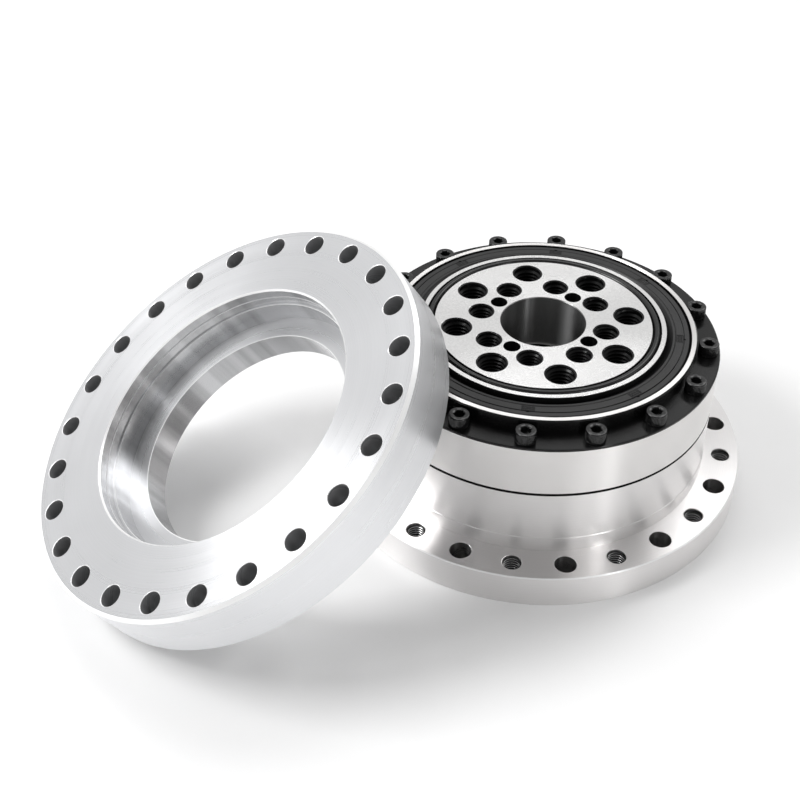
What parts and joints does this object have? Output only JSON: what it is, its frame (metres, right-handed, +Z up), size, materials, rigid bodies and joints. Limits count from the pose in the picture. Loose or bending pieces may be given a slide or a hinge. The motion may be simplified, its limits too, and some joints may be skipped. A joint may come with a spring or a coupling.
{
  "type": "strain wave gear",
  "caption": "Flanged strain wave gear unit with a crossed roller output bearing, a toothed cup, an elliptical wave generator and a loose matching adapter flange leaning on it.",
  "frame": {"origin": "centre of the base's underside, on the gear axis", "axes": "+Z up along the gear axis, out of the output face; the long axis of the wave generator lies along X at rest"},
  "size_m": [0.2978, 0.2476, 0.1177],
  "materials": {
    "machined_aluminium": "fine turned",
    "blackened_bearing_steel": "black oxide with ground bright faces",
    "black_screw_steel": "black oxide",
    "gear_steel": "satin",
    "polished_bearing_steel": "polished",
    "plain_steel": "turned",
    "seal_rubber": "semi gloss",
    "cage_resin": "moulded"
  },
  "bodies": {
    "housing": {"base_flange": "machined_aluminium", "circular_spline": "gear_steel", "spline_screw_set": "black_screw_steel", "bearing_outer_ring": "blackened_bearing_steel", "clamp_screw_set": "black_screw_steel", "base_o_ring": "seal_rubber", "oil_seal": "seal_rubber", "garter_spring": "plain_steel", "roller_plug": "polished_bearing_steel", "roller_plug_pin": "polished_bearing_steel"},
    "output": {"output_flange": "blackened_bearing_steel", "face_o_ring": "seal_rubber", "bore_cap": "plain_steel", "flexspline": "gear_steel", "cup_clamp_ring": "plain_steel", "cup_bolts": "black_screw_steel", "dowel_pins": "polished_bearing_steel"},
    "roller_set": {"crossed_rollers": "polished_bearing_steel", "roller_spacers": "cage_resin"},
    "wave_generator": {"cam_plug": "plain_steel", "wave_bearing_inner_race": "polished_bearing_steel", "wave_bearing_balls": "polished_bearing_steel", "wave_bearing_cage": "cage_resin", "wave_bearing_outer_race": "polished_bearing_steel", "retainer_plate": "plain_steel", "retainer_screws": "black_screw_steel", "coupling_insert": "cage_resin", "input_hub": "plain_steel", "thrust_washer": "plain_steel", "hub_snap_ring": "black_screw_steel"},
    "adapter": {"adapter_flange": "machined_aluminium"}
  },
  "joints": [
    {"name": "input_spin", "type": "hinge", "parent": "housing", "child": "wave_generator", "pos_m": [0, 0, 0], "axis": [0, 0, 1], "continuous": true},
    {"name": "output_spin", "type": "hinge", "parent": "housing", "child": "output", "pos_m": [0, 0, 0], "axis": [0, 0, 1], "continuous": true, "deforming": ["flexspline"]},
    {"name": "roller_orbit", "type": "hinge", "parent": "housing", "child": "roller_set", "pos_m": [0, 0, 0], "axis": [0, 0, 1], "continuous": true},
    {"name": "adapter_lift", "type": "slide", "parent": "housing", "child": "adapter", "axis": [0, 0, 1], "range_m": [0, 0.12]}
  ],
  "couplings": [
    {"joint": "output_spin", "follows": "input_spin", "ratio": -0.02},
    {"joint": "roller_orbit", "follows": "input_spin", "ratio": -0.0095123}
  ]
}
